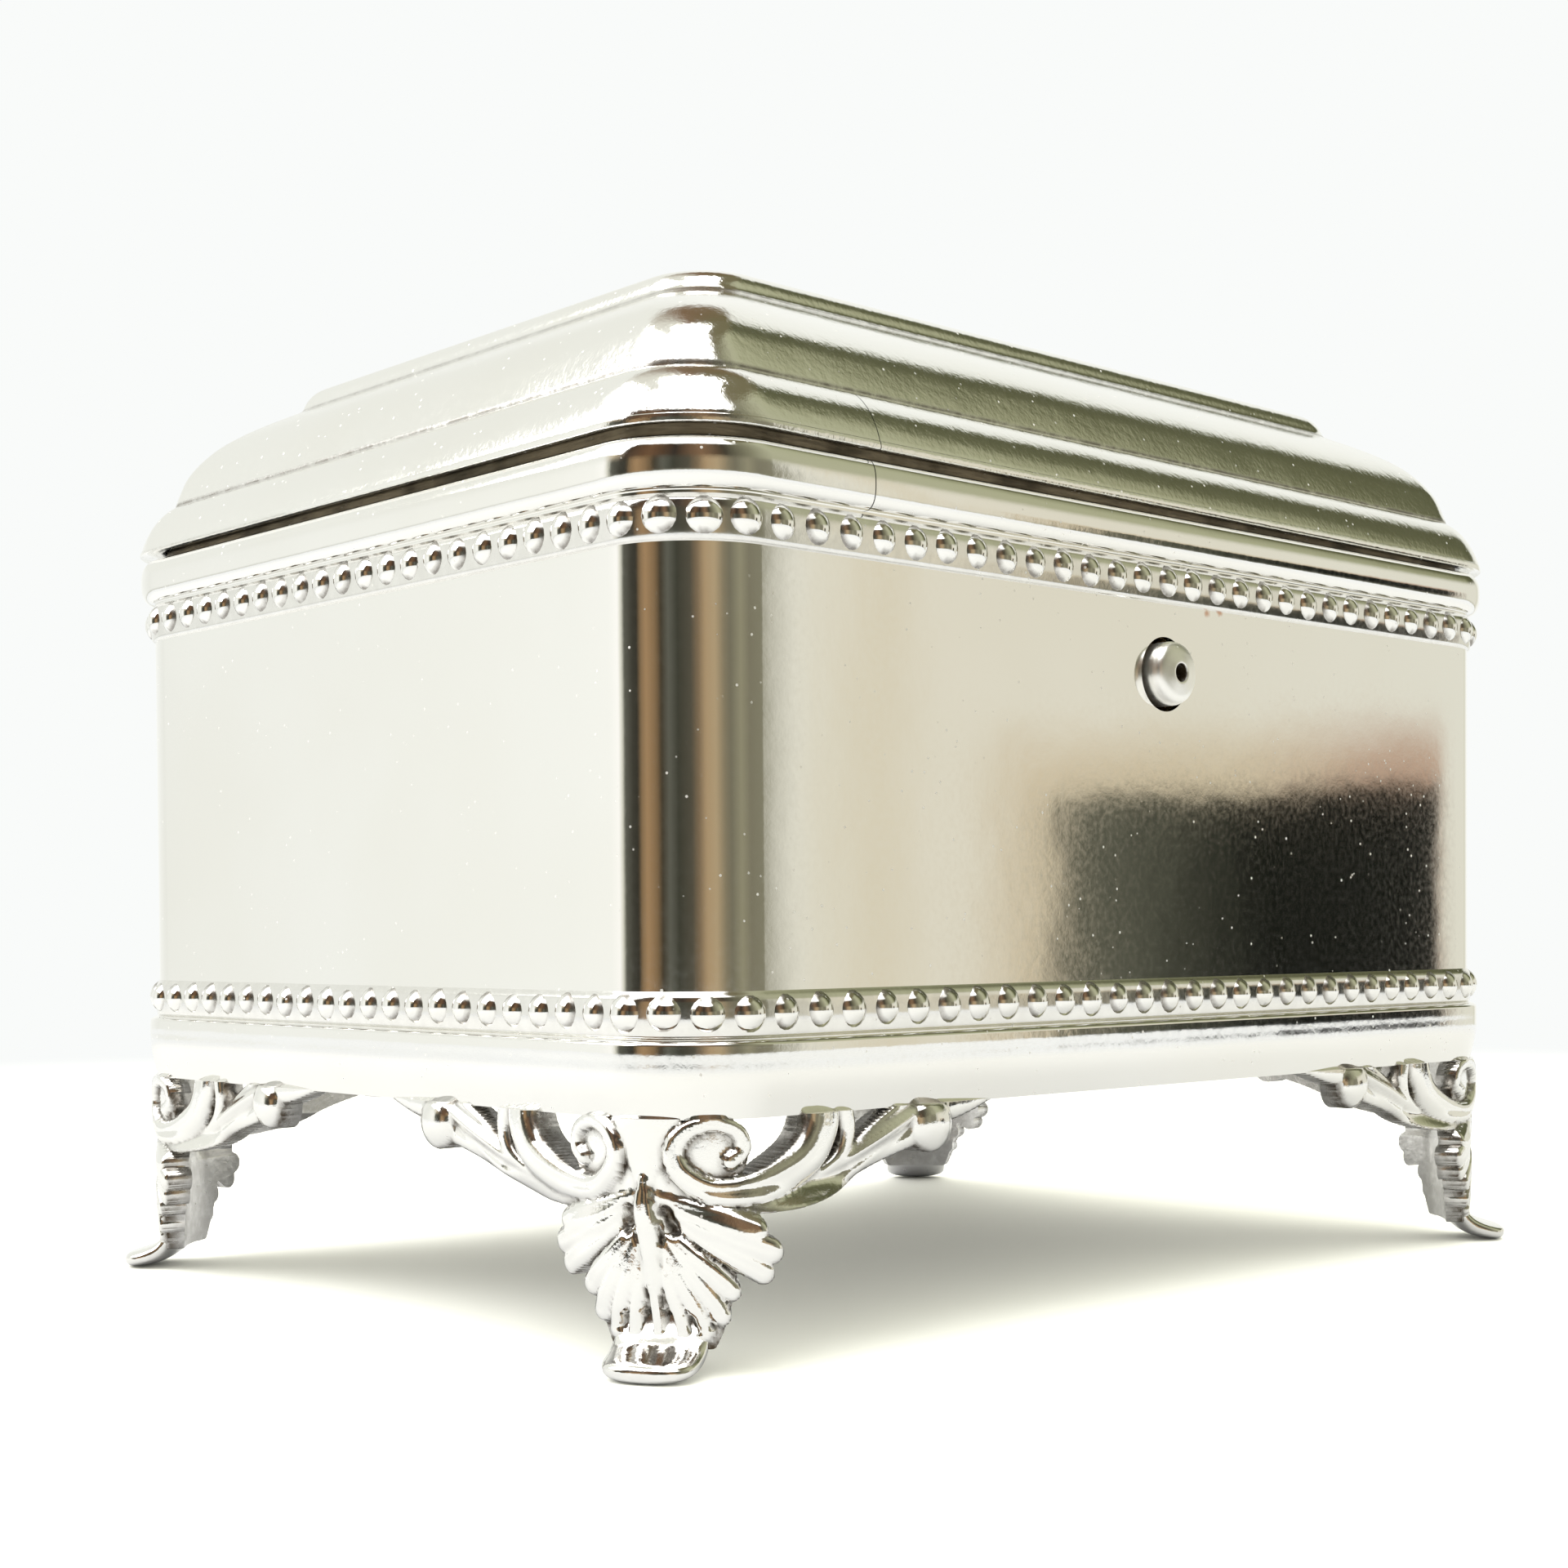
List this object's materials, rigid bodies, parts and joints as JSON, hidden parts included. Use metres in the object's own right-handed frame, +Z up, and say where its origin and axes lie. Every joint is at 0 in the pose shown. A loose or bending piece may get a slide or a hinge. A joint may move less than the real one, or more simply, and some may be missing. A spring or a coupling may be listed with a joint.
{
  "type": "trinket box",
  "caption": "Rounded rectangular silver casket on pierced scroll feet with toes, beaded borders, a stepped hinged lid and a round push-in lock button on the front.",
  "frame": {"origin": "on the floor, under the middle of the case's plan", "axes": "+Z up, the lock side faces -Y, the case's width runs along X"},
  "size_m": [0.137, 0.1063, 0.1009],
  "materials": {
    "silver_plate": "polished, lightly scratched silver plate",
    "lock_brass": "satin",
    "lock_steel": "bright",
    "velvet": "short pile"
  },
  "bodies": {
    "case": {"wall_shell": "silver_plate", "bottom_plate": "silver_plate", "base_moulding": "silver_plate", "lower_beading": "silver_plate", "upper_beading": "silver_plate", "upper_rim": "silver_plate", "foot_front_left": "silver_plate", "foot_front_right": "silver_plate", "foot_rear_left": "silver_plate", "foot_rear_right": "silver_plate", "hinge_case_leaf": "silver_plate", "hinge_pin": "silver_plate", "lock_case": "lock_brass", "lock_bridge": "lock_brass", "lock_cover": "lock_brass", "lock_screws": "lock_steel", "lock_spring": "lock_steel", "floor_pad": "velvet", "wall_lining": "velvet"},
    "lid": {"lid_skirt": "silver_plate", "lid_dome": "silver_plate", "lid_bezel": "silver_plate", "hinge_lid_leaf": "silver_plate", "lid_staple": "lock_brass", "staple_rivets": "silver_plate", "lid_lining": "velvet"},
    "button": {"lock_button": "silver_plate", "lock_plunger": "lock_steel", "plunger_clip": "lock_steel"}
  },
  "joints": [
    {"name": "lid_hinge", "type": "hinge", "parent": "case", "child": "lid", "pos_m": [0, 0.0518, 0.0814], "axis": [-1, 0, 0], "range_deg": [0, 98]},
    {"name": "button_push", "type": "slide", "parent": "case", "child": "button", "axis": [0, 1, 0], "range_m": [0, 0.0022], "stiffness_N_per_m": 400, "deforming": ["lock_spring"]}
  ]
}
